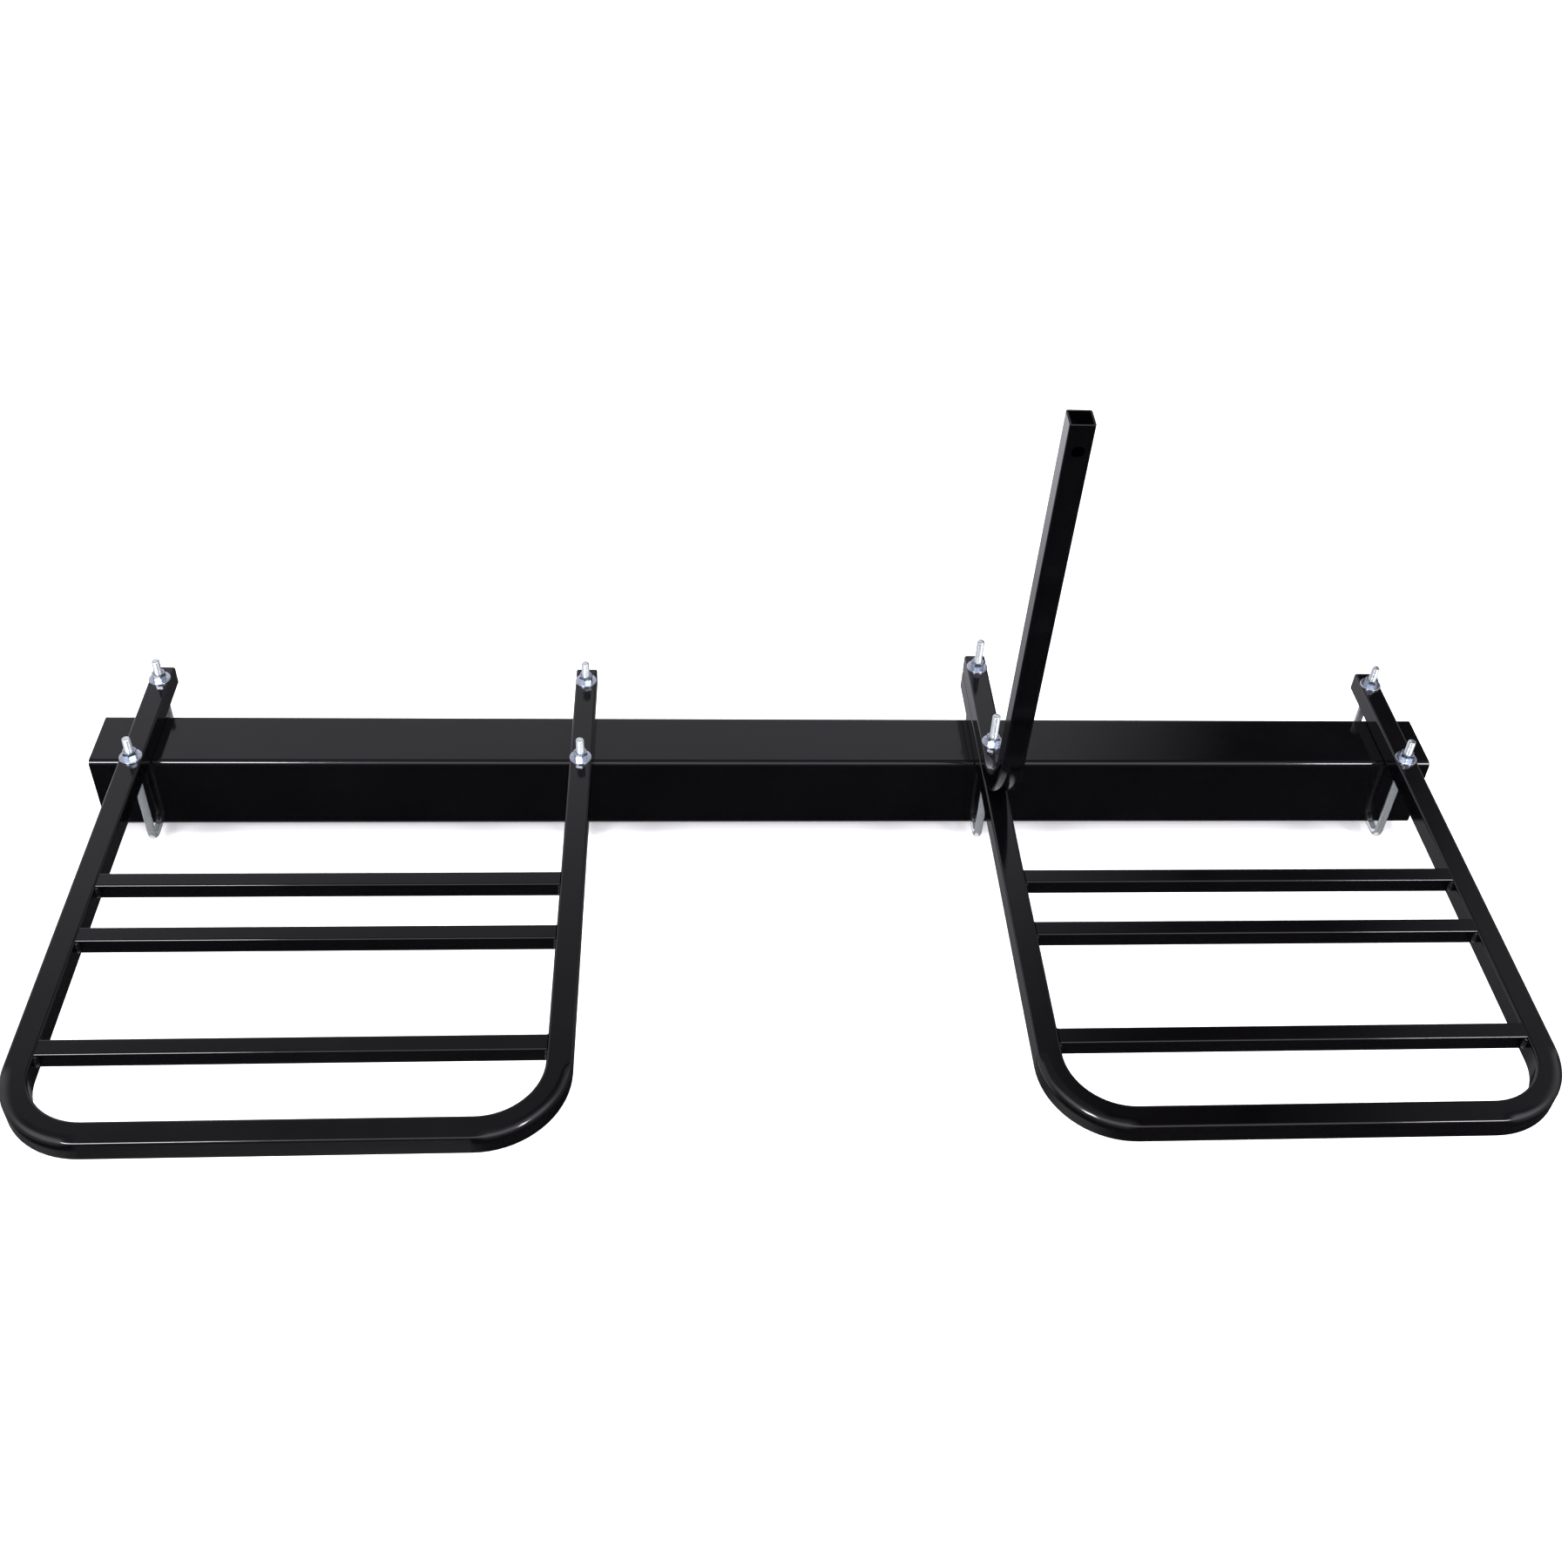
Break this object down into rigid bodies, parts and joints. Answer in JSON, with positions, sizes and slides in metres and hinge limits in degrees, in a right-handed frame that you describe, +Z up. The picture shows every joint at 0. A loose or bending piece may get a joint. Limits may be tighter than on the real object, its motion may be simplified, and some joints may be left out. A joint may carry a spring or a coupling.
{
  "type": "bumper-mounted two-cradle cargo and bicycle carrier",
  "caption": "Black square-tube wheel cradles on a rectangular bumper tube, clamped by zinc U-bolts, with an upright post.",
  "frame": {"origin": "middle of the bumper tube's back face, half way along its length and height", "axes": "+X along the bumper to the right seen from behind the vehicle, +Y towards the vehicle, +Z up"},
  "size_m": [1.6, 0.6816, 0.6799],
  "materials": {
    "bumper_paint": "gloss",
    "frame_paint": "gloss",
    "weld_paint": "gloss",
    "zinc_plate": "satin",
    "black_plastic": "matte"
  },
  "bodies": {
    "bumper": {"bumper_tube": "bumper_paint"},
    "left_cradle": {"left_frame_tube": "frame_paint", "left_crossbar_rear": "frame_paint", "left_crossbar_middle": "frame_paint", "left_crossbar_front": "frame_paint", "left_frame_welds": "weld_paint", "left_plug_outer": "black_plastic", "left_plug_inner": "black_plastic", "washer_1_front": "zinc_plate", "washer_1_rear": "zinc_plate", "washer_2_front": "zinc_plate", "washer_2_rear": "zinc_plate"},
    "right_cradle": {"right_frame_tube": "frame_paint", "right_crossbar_rear": "frame_paint", "right_crossbar_middle": "frame_paint", "right_crossbar_front": "frame_paint", "right_frame_welds": "weld_paint", "right_plug_inner": "black_plastic", "right_plug_outer": "black_plastic", "post_tube": "frame_paint", "post_foot_plug": "black_plastic", "washer_3_front": "zinc_plate", "washer_3_rear": "zinc_plate", "washer_4_front": "zinc_plate", "washer_4_rear": "zinc_plate"},
    "u_bolt_1": {"u_bolt_1": "zinc_plate"},
    "nut_1_front": {"nut_1_front": "zinc_plate"},
    "nut_1_rear": {"nut_1_rear": "zinc_plate"},
    "u_bolt_2": {"u_bolt_2": "zinc_plate"},
    "nut_2_front": {"nut_2_front": "zinc_plate"},
    "nut_2_rear": {"nut_2_rear": "zinc_plate"},
    "u_bolt_3": {"u_bolt_3": "zinc_plate"},
    "nut_3_front": {"nut_3_front": "zinc_plate"},
    "nut_3_rear": {"nut_3_rear": "zinc_plate"},
    "u_bolt_4": {"u_bolt_4": "zinc_plate"},
    "nut_4_front": {"nut_4_front": "zinc_plate"},
    "nut_4_rear": {"nut_4_rear": "zinc_plate"}
  },
  "joints": [
    {"name": "left_cradle_slide", "type": "slide", "parent": "bumper", "child": "left_cradle", "axis": [1, 0, 0], "range_m": [-0.04, 0.2]},
    {"name": "right_cradle_slide", "type": "slide", "parent": "bumper", "child": "right_cradle", "axis": [1, 0, 0], "range_m": [-0.2, 0.03]},
    {"name": "u_bolt_1_drop", "type": "slide", "parent": "left_cradle", "child": "u_bolt_1", "axis": [0, 0, -1], "range_m": [0, 0.0127]},
    {"name": "nut_1_front_spin", "type": "hinge", "parent": "left_cradle", "child": "nut_1_front", "pos_m": [-0.742, -0.102, 0.0822], "axis": [0, 0, 1], "range_deg": [0, 2880]},
    {"name": "nut_1_rear_spin", "type": "hinge", "parent": "left_cradle", "child": "nut_1_rear", "pos_m": [-0.742, 0.0367, 0.0822], "axis": [0, 0, 1], "range_deg": [0, 2880]},
    {"name": "u_bolt_2_drop", "type": "slide", "parent": "left_cradle", "child": "u_bolt_2", "axis": [0, 0, -1], "range_m": [0, 0.0127]},
    {"name": "nut_2_front_spin", "type": "hinge", "parent": "left_cradle", "child": "nut_2_front", "pos_m": [-0.234, -0.102, 0.0822], "axis": [0, 0, 1], "range_deg": [0, 2880]},
    {"name": "nut_2_rear_spin", "type": "hinge", "parent": "left_cradle", "child": "nut_2_rear", "pos_m": [-0.234, 0.0367, 0.0822], "axis": [0, 0, 1], "range_deg": [0, 2880]},
    {"name": "u_bolt_3_drop", "type": "slide", "parent": "right_cradle", "child": "u_bolt_3", "axis": [0, 0, -1], "range_m": [0, 0.0127]},
    {"name": "nut_3_front_spin", "type": "hinge", "parent": "right_cradle", "child": "nut_3_front", "pos_m": [0.247, -0.102, 0.1076], "axis": [0, 0, 1], "range_deg": [0, 2880]},
    {"name": "nut_3_rear_spin", "type": "hinge", "parent": "right_cradle", "child": "nut_3_rear", "pos_m": [0.247, 0.0367, 0.1076], "axis": [0, 0, 1], "range_deg": [0, 2880]},
    {"name": "u_bolt_4_drop", "type": "slide", "parent": "right_cradle", "child": "u_bolt_4", "axis": [0, 0, -1], "range_m": [0, 0.0127]},
    {"name": "nut_4_front_spin", "type": "hinge", "parent": "right_cradle", "child": "nut_4_front", "pos_m": [0.755, -0.102, 0.0822], "axis": [0, 0, 1], "range_deg": [0, 2880]},
    {"name": "nut_4_rear_spin", "type": "hinge", "parent": "right_cradle", "child": "nut_4_rear", "pos_m": [0.755, 0.0367, 0.0822], "axis": [0, 0, 1], "range_deg": [0, 2880]}
  ],
  "couplings": [
    {"joint": "nut_1_front_spin", "follows": "u_bolt_1_drop", "rad_per_m": 3957.9},
    {"joint": "nut_1_rear_spin", "follows": "u_bolt_1_drop", "rad_per_m": 3957.9},
    {"joint": "nut_2_front_spin", "follows": "u_bolt_2_drop", "rad_per_m": 3957.9},
    {"joint": "nut_2_rear_spin", "follows": "u_bolt_2_drop", "rad_per_m": 3957.9},
    {"joint": "nut_3_front_spin", "follows": "u_bolt_3_drop", "rad_per_m": 3957.9},
    {"joint": "nut_3_rear_spin", "follows": "u_bolt_3_drop", "rad_per_m": 3957.9},
    {"joint": "nut_4_front_spin", "follows": "u_bolt_4_drop", "rad_per_m": 3957.9},
    {"joint": "nut_4_rear_spin", "follows": "u_bolt_4_drop", "rad_per_m": 3957.9}
  ]
}
